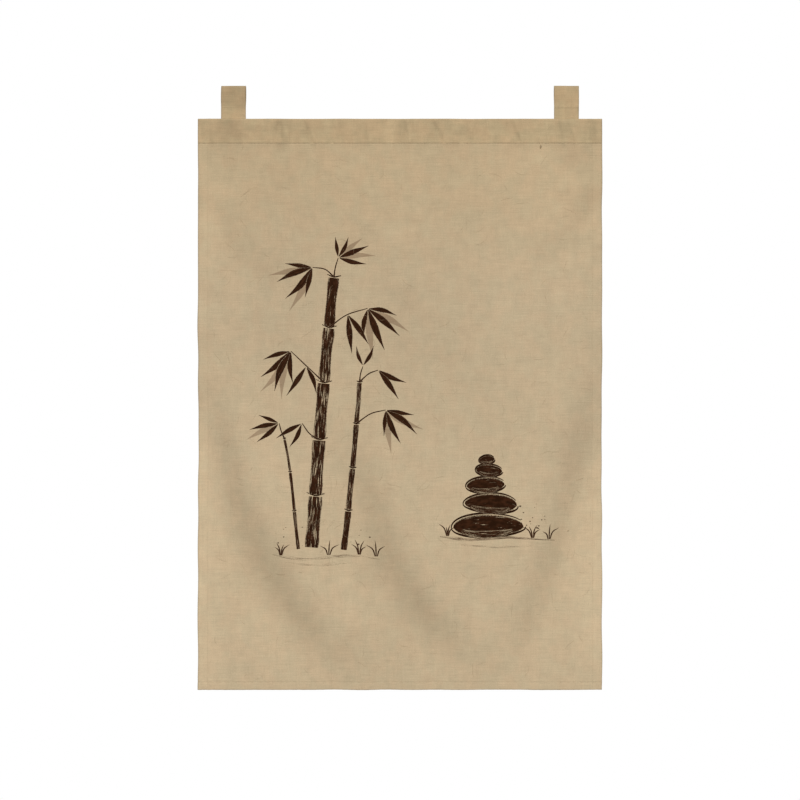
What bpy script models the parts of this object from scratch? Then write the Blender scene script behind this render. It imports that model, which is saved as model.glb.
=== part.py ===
"""Noren: a doorway curtain of cotton-linen cloth, hung face on from two sewn tabs.

Units are metres and +Z is up. The origin is the middle of the heading's top edge, and the front faces -Y.
"""

import math
from collections import namedtuple

import bmesh
import bpy

# The cloth
CLOTH_WIDTH = 0.850
CLOTH_DROP = 1.200  # from the heading's top edge to the hem
CLOTH_THICKNESS = 0.0012
SIDE_HEM = 0.019
BOTTOM_HEM = 0.016
HEM_STEP = 0.001  # the width in which a hem's second layer begins
PIECE_GAP = 0.0003

# The heading: the cloth's top turned to the back and stitched down, as a pocket that is open at both ends
HEADING_HEIGHT = 0.051
HEADING_BULGE = 0.010  # how far the pocket's back wall stands off its front wall
HEADING_PUFF = 0.0010
SEAM_HEIGHT = 0.004  # the strip that the seam holds shut
TURNED_EDGE = 0.006  # the turned edge below the seam, behind the cloth body
POCKET_TOP = 0.003  # from the top edge down to the inside of the fold
HEADING_STATIONS = 6
HEADING_COLUMNS = 44

# The tabs: doubled strips, sewn flat at the foot and open as a loop above their own stitch line
TAB_WIDTH = 0.053
TAB_CENTRE = 0.350  # from the curtain's middle
TAB_RISE = 0.070  # above the heading's top edge
TAB_STITCH_RISE = 0.0245
TAB_WALL = 0.0014
TAB_FOOT = 0.0535  # how far it reaches down behind the heading, past the seam that holds it
TAB_SEAT_GAP = 0.0004
LOOP_DEPTH = 0.014
LOOP_FULLNESS = 0.35  # how much wider the loop is towards its top
LOOP_STATIONS = 9

# The cloth body's mesh
BODY_COLUMNS = 28
BODY_ROWS = 38
FLAT_TOP = 0.010  # the body lies flat this far below the heading seam
FOLDS_BEGIN = 0.060  # and carries its folds in full this far below it

# The folds that show. Each runs from its top through its middle to its foot, as (x, z) on the cloth. The
# cloth stands forward by depth at half_width on one side of that line, and lies back as far on the other.
# faces is the side that the slope between them faces: -1 is left and down, and +1 is right and down.
Fold = namedtuple("Fold", "name top middle foot faces depth half_width")
FOLDS = (
    Fold("left", (-0.389, -0.450), (-0.306, -0.880), (-0.040, -1.205), -1, 0.0140, 0.047),
    Fold("middle", (-0.066, -0.590), (-0.025, -0.905), (0.200, -1.190), -1, 0.0115, 0.045),
    Fold("right", (0.398, -0.450), (0.340, -0.825), (0.190, -1.230), 1, 0.0145, 0.047),
    Fold("upper_left", (-0.400, -0.130), (-0.350, -0.235), (-0.270, -0.385), -1, 0.0055, 0.036),
    Fold("upper_right", (0.410, -0.120), (0.372, -0.205), (0.330, -0.310), 1, 0.0060, 0.034),
    Fold("centre", (-0.054, -0.215), (-0.042, -0.311), (-0.008, -0.410), -1, 0.0040, 0.034),
)
FOLD_FADE = 0.30  # share of a fold's length in which it rises from nothing, at each end
FOLD_STEPS = 24

# Puckers in the heading's front: each is a soft trough at x, leaning by lean over the heading's height
Pucker = namedtuple("Pucker", "x lean depth half_width")
PUCKERS = (
    Pucker(-0.256, 0.010, 0.0016, 0.011),
    Pucker(-0.193, -0.008, 0.0014, 0.013),
    Pucker(0.015, 0.006, 0.0015, 0.012),
    Pucker(0.080, -0.006, 0.0013, 0.014),
    Pucker(0.232, 0.008, 0.0015, 0.013),
    Pucker(0.337, -0.010, 0.0012, 0.016),
)

# Principled BSDF base colours (linear), roughness and metallic value
Finish = namedtuple("Finish", "colour roughness metallic")
FINISHES = {
    "linen_body": Finish((0.500, 0.392, 0.236), 0.90, 0.0),
    "linen_heading": Finish((0.462, 0.357, 0.208), 0.90, 0.0),
    "linen_tab": Finish((0.440, 0.338, 0.196), 0.90, 0.0),
}


def clear_scene():
    for thing in list(bpy.data.objects):
        bpy.data.objects.remove(thing, do_unlink=True)


def ease(share):
    """0 to 1 with level ends."""
    share = min(max(share, 0.0), 1.0)
    return share * share * (3 - 2 * share)


def evenly(start, end, count):
    return [start + (end - start) * i / count for i in range(count + 1)]


def fold_line(fold):
    """The fold's line as points with their shares of the way down: a parabola through its three places."""
    points = []
    for t in evenly(0.0, 1.0, FOLD_STEPS):
        sag = [m - (a + b) / 2 for a, m, b in zip(fold.top, fold.middle, fold.foot)]
        x, z = (
            a + (b - a) * t + 4 * s * t * (1 - t)
            for a, b, s in zip(fold.top, fold.foot, sag)
        )
        points.append((x, z, t))
    return points


def fold_depth(fold, line, x, z):
    """How far one fold moves the cloth at (x, z): back on the side it faces, and forward on the other."""
    nearest, side, share = math.inf, 0.0, 0.0
    for (ax, az, at), (bx, bz, bt) in zip(line, line[1:]):
        dx, dz = bx - ax, bz - az
        length = math.hypot(dx, dz)
        along = min(max(((x - ax) * dx + (z - az) * dz) / length**2, 0.0), 1.0)
        px, pz = x - ax - along * dx, z - az - along * dz
        distance = math.hypot(px, pz)
        if distance < nearest:
            nearest = distance
            side = fold.faces * (pz * dx - px * dz) / length
            share = at + along * (bt - at)
    across = side / fold.half_width
    strength = ease(share / FOLD_FADE) * ease((1 - share) / FOLD_FADE)
    return fold.depth * strength * across * math.exp((1 - across * across) / 2)


def cloth_front(lines, x, z):
    """The y of the body's front face."""
    below_seam = -z - HEADING_HEIGHT
    reach = ease((below_seam - FLAT_TOP) / (FOLDS_BEGIN - FLAT_TOP))
    return reach * sum(fold_depth(fold, line, x, z) for fold, line in lines)


def layers(x):
    """How thick the cloth is at x: doubled in the side hems."""
    into_hem = abs(x) - (CLOTH_WIDTH / 2 - SIDE_HEM)
    return CLOTH_THICKNESS * (1 + min(max(into_hem / HEM_STEP, 0.0), 1.0))


def cloth_columns(count):
    """Places across the cloth, with two close together where each side hem's second layer begins."""
    edge = CLOTH_WIDTH / 2
    hem = edge - SIDE_HEM
    inner = evenly(-hem, hem, count)
    return [-edge, -hem - HEM_STEP, *inner, hem + HEM_STEP, edge]


def add_material(name):
    finish = FINISHES[name]
    material = bpy.data.materials.new(name)
    material.use_nodes = True
    shader = material.node_tree.nodes["Principled BSDF"]
    shader.inputs["Base Color"].default_value = (*finish.colour, 1.0)
    shader.inputs["Roughness"].default_value = finish.roughness
    shader.inputs["Metallic"].default_value = finish.metallic
    return material


def add_object(name, mesh, parent, x=0.0):
    piece = bpy.data.objects.new(name, mesh)
    bpy.context.scene.collection.objects.link(piece)
    piece.parent = parent
    piece.location = (x, 0.0, 0.0)
    return piece


def mesh_from(bm, name, material):
    bmesh.ops.recalc_face_normals(bm, faces=bm.faces)
    mesh = bpy.data.meshes.new(name)
    bm.to_mesh(mesh)
    bm.free()
    mesh.materials.append(add_material(material))
    mesh.shade_smooth()
    mesh.set_sharp_from_angle(angle=math.radians(40))
    return mesh


def make_panel(parent):
    """The cloth body: one sheet on its folds, thickened to the back, and twice as thick in its hems."""
    lines = [(fold, fold_line(fold)) for fold in FOLDS]
    top = -HEADING_HEIGHT - PIECE_GAP
    hem_top = -CLOTH_DROP + BOTTOM_HEM
    rows = [
        top,
        *evenly(-HEADING_HEIGHT - FLAT_TOP, hem_top + HEM_STEP, BODY_ROWS),
        hem_top,
        -CLOTH_DROP,
    ]
    columns = cloth_columns(BODY_COLUMNS)

    bm = bmesh.new()
    grid = [
        [bm.verts.new((x, cloth_front(lines, x, z), z)) for x in columns] for z in rows
    ]
    for upper, lower in zip(grid, grid[1:]):
        for i in range(len(columns) - 1):
            bm.faces.new((lower[i], lower[i + 1], upper[i + 1], upper[i]))
    weights = [
        1.0 if z <= hem_top else layers(x) / (2 * CLOTH_THICKNESS)
        for z in rows
        for x in columns
    ]
    mesh = bpy.data.meshes.new("panel")
    bm.to_mesh(mesh)
    bm.free()
    mesh.materials.append(add_material("linen_body"))
    mesh.shade_smooth()

    panel = add_object("panel", mesh, parent)
    hems = panel.vertex_groups.new(name="hems")
    for index, weight in enumerate(weights):
        hems.add([index], weight, "REPLACE")
    solid = panel.modifiers.new("cloth", "SOLIDIFY")
    solid.thickness = 2 * CLOTH_THICKNESS
    solid.offset = -1.0
    solid.vertex_group = hems.name
    solid.use_even_offset = True
    return panel


def sleeve(name, columns, outer_at, inner_at, material):
    """A body swept along X between an outer and an inner outline of (y, z) points, open at both ends."""
    bm = bmesh.new()
    ends = ([], [])
    for outline_at in (outer_at, inner_at):
        rings = [[bm.verts.new((x, y, z)) for y, z in outline_at(x)] for x in columns]
        for ring, following in zip(rings, rings[1:]):
            for i in range(len(ring)):
                j = (i + 1) % len(ring)
                bm.faces.new((ring[i], ring[j], following[j], following[i]))
        for end, ring in zip(ends, (rings[0], rings[-1])):
            end.extend(bm.edges.get((ring[i - 1], ring[i])) for i in range(len(ring)))
    for end in ends:
        bmesh.ops.triangle_fill(bm, edges=end, use_beauty=False)
    return mesh_from(bm, name, material)


def heading_levels():
    """(z, bulge) from the seam up to the inside of the top fold; bulge is 0 at both and 1 halfway."""
    low = -HEADING_HEIGHT + SEAM_HEIGHT
    shares = evenly(0.0, 1.0, HEADING_STATIONS)
    return [(low + (-POCKET_TOP - low) * s, math.sin(math.pi * s)) for s in shares]


def heading_front(x, z, bulge):
    """The y of the heading's front face, puffed a little and drawn in at its puckers."""
    drawn_in = 0.0
    for pucker in PUCKERS:
        middle = pucker.x + pucker.lean * (z / HEADING_HEIGHT + 0.5)
        drawn_in += pucker.depth * math.exp(-(((x - middle) / pucker.half_width) ** 2))
    return bulge * (drawn_in - HEADING_PUFF)


def heading_seam_depth(x):
    """Front to back where the seam presses the two walls together."""
    return 2 * layers(x) + PIECE_GAP


def heading_back(x, bulge):
    return heading_seam_depth(x) + HEADING_BULGE * bulge


def heading_outline(x):
    depth = heading_seam_depth(x)
    lip_front = layers(x) + PIECE_GAP
    lip_foot = -HEADING_HEIGHT - TURNED_EDGE
    levels = heading_levels()
    front = [(heading_front(x, z, bulge), z) for z, bulge in levels]
    top = [
        (
            depth / 2 * (1 - math.cos(angle)),
            -POCKET_TOP + POCKET_TOP * math.sin(angle),
        )
        for angle in (math.pi / 4, math.pi / 2, 3 * math.pi / 4)
    ]
    back = [(heading_back(x, bulge), z) for z, bulge in reversed(levels)]
    turned_edge = [(depth, lip_foot), (lip_front, lip_foot), (lip_front, -HEADING_HEIGHT)]
    return [(0.0, -HEADING_HEIGHT), *front, *top, *back, *turned_edge]


def pocket_outline(x):
    wall = layers(x)
    levels = heading_levels()
    front = [(heading_front(x, z, bulge) + wall, z) for z, bulge in levels]
    back = [(heading_back(x, bulge) - wall, z) for z, bulge in reversed(levels)]
    return [*front, *back]


def make_heading(parent):
    mesh = sleeve(
        "heading",
        cloth_columns(HEADING_COLUMNS),
        heading_outline,
        pocket_outline,
        "linen_heading",
    )
    return add_object("heading", mesh, parent)


def loop_side(middle, low, high, depth, least):
    """One side of a tab's loop from its foot to its top, as distances from its middle plane."""
    side = []
    for share in evenly(0.0, 1.0, LOOP_STATIONS):
        angle = math.pi * share
        z = low + (high - low) * (1 - math.cos(angle)) / 2
        away = depth / 2 * math.sin(angle) * (1 - LOOP_FULLNESS * math.cos(angle))
        side.append((max(away, least), z))
    return [(middle, away, z) for away, z in side]


def tab_leg():
    """The front of the leg, from its foot up behind the heading to the heading's top fold."""
    at_seam = heading_seam_depth(TAB_CENTRE) + TAB_SEAT_GAP
    seat = [
        (heading_back(TAB_CENTRE, bulge) + TAB_SEAT_GAP, z)
        for z, bulge in heading_levels()
    ]
    return [(at_seam, -TAB_FOOT), *seat]


def tab_middle():
    return tab_leg()[-1][0] + TAB_WALL


def tab_outline(_x):
    leg = tab_leg()
    loop = loop_side(tab_middle(), TAB_STITCH_RISE, TAB_RISE, LOOP_DEPTH, TAB_WALL)
    front = [(middle - away, z) for middle, away, z in loop]
    back = [(middle + away, z) for middle, away, z in reversed(loop)]
    leg_back = [(y + 2 * TAB_WALL, z) for y, z in reversed(leg)]
    return [*leg, *front, *back, *leg_back]


def tab_hole(_x):
    loop = loop_side(
        tab_middle(),
        TAB_STITCH_RISE + 2 * TAB_WALL,
        TAB_RISE - TAB_WALL,
        LOOP_DEPTH - 2 * TAB_WALL,
        0.0,
    )
    front = [(middle - away, z) for middle, away, z in loop]
    back = [(middle + away, z) for middle, away, z in reversed(loop[1:-1])]
    return [*front, *back]


def make_tabs(parent):
    columns = evenly(-TAB_WIDTH / 2, TAB_WIDTH / 2, 2)
    mesh = sleeve("tab", columns, tab_outline, tab_hole, "linen_tab")
    for name, x in (("tab_left", -TAB_CENTRE), ("tab_right", TAB_CENTRE)):
        add_object(name, mesh, parent, x)


def main():
    clear_scene()
    noren = bpy.data.objects.new("noren", None)
    bpy.context.scene.collection.objects.link(noren)
    make_panel(noren)
    make_heading(noren)
    make_tabs(noren)


main()
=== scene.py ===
# Noren curtain: its cloth, sewing and ink print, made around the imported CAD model.
import math

import bpy
import numpy as np
from mathutils.geometry import delaunay_2d_cdt
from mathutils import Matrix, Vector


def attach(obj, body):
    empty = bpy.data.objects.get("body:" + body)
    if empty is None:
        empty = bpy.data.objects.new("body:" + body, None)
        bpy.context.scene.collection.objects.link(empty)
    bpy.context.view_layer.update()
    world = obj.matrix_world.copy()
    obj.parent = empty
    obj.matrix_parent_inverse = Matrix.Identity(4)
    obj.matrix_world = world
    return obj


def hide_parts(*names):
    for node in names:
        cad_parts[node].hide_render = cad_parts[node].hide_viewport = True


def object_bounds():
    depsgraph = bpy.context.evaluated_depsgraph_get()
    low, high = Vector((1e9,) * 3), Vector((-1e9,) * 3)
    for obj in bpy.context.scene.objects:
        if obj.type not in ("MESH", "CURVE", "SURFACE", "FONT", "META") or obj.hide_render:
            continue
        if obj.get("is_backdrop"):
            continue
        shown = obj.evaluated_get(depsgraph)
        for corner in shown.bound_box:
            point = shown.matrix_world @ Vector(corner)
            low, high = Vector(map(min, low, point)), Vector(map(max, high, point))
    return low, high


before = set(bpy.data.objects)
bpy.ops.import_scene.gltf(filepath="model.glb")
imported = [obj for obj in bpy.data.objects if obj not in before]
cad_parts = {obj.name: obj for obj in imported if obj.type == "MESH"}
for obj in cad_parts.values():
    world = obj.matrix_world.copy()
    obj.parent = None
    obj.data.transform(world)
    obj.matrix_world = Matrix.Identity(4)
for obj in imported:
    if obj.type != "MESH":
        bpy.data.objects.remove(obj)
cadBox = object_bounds()
bpy.ops.object.select_all(action="DESELECT")
print("frame loaded:", ", ".join(sorted(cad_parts)))


# Camera, lights and floor

cameraSettings = {
    "place": (0.0, -3.974, -0.591),
    "lens": 85.0,
    "sensor": 36.0,
}
studio = {
    "backdrop": (1.0, 1.0, 1.0),
    "roomLight": (1.0, 0.985, 0.955),
    "roomStrength": 0.43,
    # name, place, aim, size, power in watts
    "lamps": (
        ("key", (-0.25, -3.2, 3.35), (0.0, 0.0, -0.60), 1.5, 187.0),
        ("fill", (1.9, -2.6, -0.7), (0.0, 0.0, -0.60), 1.8, 5.0),
        ("rear", (1.5, 2.5, 1.9), (0.0, 0.0, -0.60), 1.5, 92.0),
    ),
    "lampColour": (1.0, 0.975, 0.935),
    "floorHeight": -1.95,
    "floorRadius": 2.25,
    "floorFade": (0.45, 0.97),  # where it begins to fade and is gone, in shares of its radius
    "floorColour": (0.80, 0.79, 0.77, 1.0),
}


def aimAt(thing, target):
    reach = [b - a for a, b in zip(thing.location, target)]
    flat = math.hypot(reach[0], reach[1])
    thing.rotation_euler = (
        math.atan2(flat, -reach[2]),
        0.0,
        math.atan2(-reach[0], reach[1]),
    )


def addThing(name, data):
    thing = bpy.data.objects.new(name, data)
    bpy.context.scene.collection.objects.link(thing)
    return thing


def addCamera():
    camera = addThing("camera", bpy.data.cameras.new("camera"))
    camera.location = cameraSettings["place"]
    camera.rotation_euler = (math.pi / 2, 0.0, 0.0)
    camera.data.lens = cameraSettings["lens"]
    camera.data.sensor_width = cameraSettings["sensor"]
    bpy.context.scene.camera = camera


def addLamps():
    for name, place, target, size, power in studio["lamps"]:
        lamp = addThing(name, bpy.data.lights.new(name, "AREA"))
        lamp.location = place
        lamp.data.size = size
        lamp.data.energy = power
        lamp.data.color = studio["lampColour"]
        aimAt(lamp, target)


class Wire:
    # A node socket that +, - and * work on
    def __init__(self, tree, socket=None):
        self.tree, self.socket = tree, socket

    def make(self, kind, settings=None, inputs=None, output=0):
        node = self.tree.nodes.new(kind)
        for key, value in (settings or {}).items():
            setattr(node, key, value)
        for key, value in (inputs or {}).items():
            if isinstance(value, Wire):
                self.tree.links.new(value.socket, node.inputs[key])
            else:
                node.inputs[key].default_value = value
        return Wire(self.tree, node.outputs[output] if node.outputs else None)

    def reckon(self, operation, *values):
        settings = {"operation": operation}
        return self.make("ShaderNodeMath", settings, dict(enumerate(values)))

    def __add__(self, other):
        return self.reckon("ADD", self, other)

    def __radd__(self, other):
        return self.reckon("ADD", other, self)

    def __sub__(self, other):
        return self.reckon("SUBTRACT", self, other)

    def __rsub__(self, other):
        return self.reckon("SUBTRACT", other, self)

    def __mul__(self, other):
        return self.reckon("MULTIPLY", self, other)

    def __rmul__(self, other):
        return self.reckon("MULTIPLY", other, self)

    def size(self):
        return self.reckon("ABSOLUTE", self)

    def clipped(self):
        return self.make("ShaderNodeClamp", {}, {"Value": self})

    def spread(self, low, high):
        # 0 below low, 1 above high, eased between
        settings = {"interpolation_type": "SMOOTHSTEP"}
        inputs = {"Value": self, "From Min": low, "From Max": high}
        return self.make("ShaderNodeMapRange", settings, inputs)

    def noise(self, across, down, detail=2.0, roughness=0.5, bend=0.0, start=(0.0, 0.0)):
        stretched = self.make(
            "ShaderNodeVectorMath",
            {"operation": "MULTIPLY_ADD"},
            {0: self, 1: (across, down, 0.0), 2: (*start, 0.0)},
        )
        inputs = {
            "Vector": stretched,
            "Scale": 1.0,
            "Detail": detail,
            "Roughness": roughness,
            "Distortion": bend,
        }
        return self.make("ShaderNodeTexNoise", {"noise_dimensions": "2D"}, inputs)

    def blended(self, first, second, share):
        # the first colour turning into the second one
        inputs = {0: share, 6: first, 7: second}
        return self.make("ShaderNodeMix", {"data_type": "RGBA"}, inputs, 2)

    def dimmed(self, colour, share):
        inputs = {0: colour, "Scale": share}
        return self.make("ShaderNodeVectorMath", {"operation": "SCALE"}, inputs)

    def split(self, part):
        return self.make("ShaderNodeSeparateXYZ", {}, {0: self}, part)


def emptyMaterial(name):
    material = bpy.data.materials.new(name)
    material.use_nodes = True
    material.node_tree.nodes.clear()
    return material, Wire(material.node_tree)


def addRoom():
    world = bpy.data.worlds.new("studio")
    world.use_nodes = True
    world.node_tree.nodes.clear()
    start = Wire(world.node_tree)
    seen = start.make("ShaderNodeBackground", {}, {"Color": (*studio["backdrop"], 1.0)})
    lit = start.make(
        "ShaderNodeBackground",
        {},
        {"Color": (*studio["roomLight"], 1.0), "Strength": studio["roomStrength"]},
    )
    fromCamera = start.make("ShaderNodeLightPath")
    both = start.make("ShaderNodeMixShader", {}, {0: fromCamera, 1: lit, 2: seen})
    start.make("ShaderNodeOutputWorld", {}, {"Surface": both})
    bpy.context.scene.world = world
    bpy.context.scene.view_settings.view_transform = "Standard"


def addFloor():
    bpy.ops.mesh.primitive_circle_add(
        vertices=96,
        radius=studio["floorRadius"],
        fill_type="NGON",
        location=(0.0, 0.0, studio["floorHeight"]),
    )
    floor = bpy.context.object
    floor.name = "floor"
    material, start = emptyMaterial("paleFloor")
    place = start.make("ShaderNodeTexCoord", {}, {}, 3)
    away = start.make("ShaderNodeVectorMath", {"operation": "LENGTH"}, {0: place}, 1)
    gone = away.spread(*(share * studio["floorRadius"] for share in studio["floorFade"]))
    floorInputs = {"Base Color": studio["floorColour"], "Roughness": 0.9}
    ground = start.make("ShaderNodeBsdfPrincipled", {}, floorInputs)
    clear = start.make("ShaderNodeBsdfTransparent")
    both = start.make("ShaderNodeMixShader", {}, {0: gone, 1: ground, 2: clear})
    start.make("ShaderNodeOutputMaterial", {}, {"Surface": both})
    floor.data.materials.append(material)
    floor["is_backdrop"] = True


addCamera()
addRoom()
addLamps()
addFloor()
print("studio ready")


# How the cloth hangs. The folds are the CAD part's own, and the rest is finer than its mesh.

cloth = {
    "width": 0.850,
    "drop": 1.2008,
    "wall": 0.0009,
    "sideHem": 0.0215,
    "bottomHem": 0.0185,
    "hemStep": 0.0010,  # the width in which a hem's second layer begins
    "sideStitch": 0.4055,
    "bottomStitch": -1.1846,
    "headingHeight": 0.051,
}
hang = {
    "flatTop": 0.010,  # it is flat this far below the seam
    "foldsBegin": 0.060,  # and has its folds in full this far below it
    "fade": 0.30,  # share of a fold's length in which it rises from nothing, at each end
    # painted shade along the slope of each fold, on top of what the light makes; a negative value
    # is painted light
    "paintedShade": (0.012, 0.030, 0.012, -0.034, -0.044, 0.000),
    # top, middle and foot as (x, z), the side faced, depth, half width
    "folds": (
        ((-0.389, -0.450), (-0.306, -0.880), (-0.040, -1.205), -1, 0.0140, 0.047),
        ((-0.066, -0.590), (-0.025, -0.905), (0.200, -1.190), -1, 0.0115, 0.045),
        ((0.398, -0.450), (0.340, -0.825), (0.190, -1.230), 1, 0.0145, 0.047),
        ((-0.400, -0.130), (-0.350, -0.235), (-0.270, -0.385), -1, 0.0055, 0.036),
        ((0.410, -0.120), (0.372, -0.205), (0.330, -0.310), 1, 0.0060, 0.034),
        ((-0.054, -0.215), (-0.042, -0.311), (-0.008, -0.410), -1, 0.0040, 0.034),
    ),
    # height, length and seed of each kind of unevenness
    "longWaves": (0.00055, 0.075, 11),
    "shortWaves": (0.00016, 0.034, 12),
    "edgeWaves": (0.00085, 0.130, 13),
    "outlineWaves": (0.00035, 0.120, 14),
    "gathers": (0.00035, 0.020, 15),
    "wavesGrow": 0.12,  # over this much of the drop
    "waveStretch": 0.38,  # they are longer down the cloth than across it
    "edgeBand": (0.345, 0.080, 0.15),  # where it begins, and how it grows outwards and downwards
    "edgeStretch": 0.15,  # how little they vary inwards
    "outlineBand": (0.33, 1.10, 0.09),  # where it begins at the sides and foot, and how it grows
    "gatherReach": 0.018,  # below the seam
    "gatherLean": 0.1,
    "creaseSpread": 1.7,  # how much wider they are below the seam
    "hemRipple": (0.00045, 0.0165),  # height, pitch along the hem
    "hemBand": (1.158, 0.024),  # how far down it begins, and over what height it grows
    "hemDrift": (1.3, 0.12, 16),  # how uneven the pitch is: strength, length, seed
    "hemLean": 0.7,
    "seamGroove": (0.0004, 0.0012),  # depth, half width
    "stitchGroove": (0.00035, 0.0012),
}
# Creases at the seam: x at the top and at the seam, half width, depth, painted shade, reach below
# it
creases = (
    (-0.257, -0.249, 0.0060, 0.0014, 0.128, 0.020),
    (-0.202, -0.183, 0.0028, 0.0010, 0.104, 0.012),
    (-0.074, -0.069, 0.0035, 0.0009, 0.064, 0.010),
    (0.010, 0.015, 0.0030, 0.0010, 0.088, 0.012),
    (0.068, 0.093, 0.0032, 0.0010, 0.080, 0.010),
    (0.235, 0.254, 0.0032, 0.0010, 0.088, 0.010),
    (0.333, 0.346, 0.0026, 0.0007, 0.072, 0.008),
    (0.352, 0.369, 0.0026, 0.0007, 0.072, 0.008),
    (0.386, 0.384, 0.0040, -0.0007, -0.048, 0.006),
    (0.400, 0.401, 0.0022, 0.0007, 0.080, 0.010),
    (0.410, 0.411, 0.0020, 0.0006, 0.072, 0.010),
    (-0.399, -0.399, 0.0025, 0.0006, 0.056, 0.030),
    (-0.233, -0.232, 0.0022, 0.0006, 0.048, 0.034),
    (-0.330, -0.338, 0.0030, 0.0006, 0.040, 0.010),
    (-0.140, -0.131, 0.0030, 0.0006, 0.035, 0.010),
    (0.160, 0.151, 0.0030, 0.0006, 0.035, 0.010),
    (0.302, 0.309, 0.0026, 0.0006, 0.040, 0.010),
)
creaseShape = {
    "lowest": 1.3,  # where they stop leaning, in heading heights
    "faint": (0.45, 0.55, 0.030),  # strength at the top, what is added, and over what height
    "ridge": (1.9, 1.2),  # a ridge beside each trough: how far off and how wide, in half widths
    "ridgeHeight": 0.55,
    # painted light on the ridge beside each crease, as a share of its painted shade
    "ridgePaintedLight": 0.35,
    "heldFlat": 0.0035,  # by the seam, to either side of it
}


def eased(share):
    share = np.clip(share, 0.0, 1.0)
    return share * share * (3 - 2 * share)


def bellAt(distance, halfWidth):
    return np.exp(-((distance / halfWidth) ** 2))


def waves(x, z, length, seed, count=16):
    # even, seamless unevenness of about 1 high
    chance = np.random.default_rng(seed)
    total = np.zeros(np.broadcast(x, z).shape)
    for _ in range(count):
        turn, phase = chance.uniform(0.0, math.tau, 2)
        pitch = length * chance.uniform(0.7, 1.5)
        along = x * math.cos(turn) + z * math.sin(turn)
        total += np.sin(along * math.tau / pitch + phase)
    return total * math.sqrt(2 / count)


def foldPlace(fold, x, z):
    # how far across the fold each point lies, in half widths, and how strong the fold is there
    top, middle, foot, faces, _, halfWidth = fold
    steps = np.linspace(0.0, 1.0, 25)
    lineX, lineZ = (
        a + (b - a) * steps + 4 * (m - (a + b) / 2) * steps * (1 - steps)
        for a, m, b in zip(top, middle, foot)
    )
    nearest = np.full(x.shape, 9.0)
    side, share = np.zeros(x.shape), np.zeros(x.shape)
    for i in range(len(steps) - 1):
        stepX, stepZ = lineX[i + 1] - lineX[i], lineZ[i + 1] - lineZ[i]
        length = math.hypot(stepX, stepZ)
        offX, offZ = x - lineX[i], z - lineZ[i]
        along = np.clip((offX * stepX + offZ * stepZ) / length**2, 0.0, 1.0)
        offX, offZ = offX - along * stepX, offZ - along * stepZ
        distance = np.hypot(offX, offZ)
        closer = distance < nearest
        nearest = np.where(closer, distance, nearest)
        side = np.where(closer, faces * (offZ * stepX - offX * stepZ) / length, side)
        share = np.where(closer, steps[i] + along * (steps[i + 1] - steps[i]), share)
    across = side / halfWidth
    return across, eased(share / hang["fade"]) * eased((1 - share) / hang["fade"])


def foldDepth(fold, x, z):
    # a soft step: back on the side that the fold faces, and forward on the other
    across, strength = foldPlace(fold, x, z)
    return fold[4] * strength * across * np.exp((1 - across**2) / 2)


def foldPaintedShade(x, z):
    # painted shade along each fold's slope, fading to either side of it
    dark = 0.0
    for fold, paintedShade in zip(hang["folds"], hang["paintedShade"]):
        across, strength = foldPlace(fold, x, z)
        dark = dark + paintedShade * strength * (1 - across**2) * np.exp(-(across**2) / 2)
    return dark


def creaseAt(x, z, wider=1.0):
    # how far the creases draw the cloth back at (x, z), and how much painted shade they add
    depth, dark = np.zeros(x.shape), np.zeros(x.shape)
    height = cloth["headingHeight"]
    faint, added, fadeHeight = creaseShape["faint"]
    away, broader = creaseShape["ridge"]
    for top, atSeam, halfWidth, deep, paintedShade, reach in creases:
        halfWidth, deep, paintedShade = halfWidth * wider, deep / wider, paintedShade / wider
        down = np.minimum(-z / height, creaseShape["lowest"])
        distance = x - (top + (atSeam - top) * down)
        below = np.maximum(-z - height, 0.0)
        strength = np.exp(-((below / reach) ** 2)) * (faint + added * eased(-z / fadeHeight))
        trough = bellAt(distance, halfWidth)
        ridge = bellAt(distance - away * halfWidth, broader * halfWidth)
        depth += deep * strength * (trough - creaseShape["ridgeHeight"] * ridge)
        dark += paintedShade * strength * (trough - creaseShape["ridgePaintedLight"] * ridge)
    return depth * (1 - bellAt(z + height, creaseShape["heldFlat"])), dark


def layersAt(x, z):
    intoSide = np.abs(x) - (cloth["width"] / 2 - cloth["sideHem"])
    intoFoot = -z - (cloth["drop"] - cloth["bottomHem"])
    into = np.maximum(intoSide, intoFoot) / cloth["hemStep"]
    return 1.0 + np.clip(into, 0.0, 1.0)


def gathersAt(x):
    height, length, seed = hang["gathers"]
    return height * waves(x, 0.0, length, seed)


def seamGroove(z):
    depth, halfWidth = hang["seamGroove"]
    return depth * bellAt(z + cloth["headingHeight"], halfWidth)


def stitchGroove(distance):
    depth, halfWidth = hang["stitchGroove"]
    return depth * bellAt(distance, halfWidth)


def panelFront(x, z):
    x, z = np.broadcast_arrays(np.asarray(x, float), np.asarray(z, float))
    below = -z - cloth["headingHeight"]
    settled = eased((below - hang["flatTop"]) / (hang["foldsBegin"] - hang["flatTop"]))
    y = settled * sum(foldDepth(fold, x, z) for fold in hang["folds"])
    grown = eased(below / hang["wavesGrow"])
    for part in ("longWaves", "shortWaves"):
        height, length, seed = hang[part]
        y = y + height * grown * waves(x, hang["waveStretch"] * z, length, seed)
    height, length, seed = hang["edgeWaves"]
    edge, outwards, downwards = hang["edgeBand"]
    nearSide = eased((np.abs(x) - edge) / outwards) * eased(below / downwards)
    y = y + height * nearSide * waves(hang["edgeStretch"] * x, z, length, seed)
    fading = np.exp(-np.maximum(below, 0) / hang["gatherReach"])
    y = y + gathersAt(x + hang["gatherLean"] * below) * fading
    y = y + creaseAt(x, z, hang["creaseSpread"])[0] + seamGroove(z)
    height, pitch = hang["hemRipple"]
    inHem = eased((-z - hang["hemBand"][0]) / hang["hemBand"][1])
    strength, length, seed = hang["hemDrift"]
    phase = math.tau * (x + hang["hemLean"] * z) / pitch + strength * waves(x, 0.0, length, seed)
    y = y + height * inHem * np.sin(phase)
    y = y + stitchGroove(np.abs(x) - cloth["sideStitch"])
    return y + stitchGroove(z - cloth["bottomStitch"])


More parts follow.
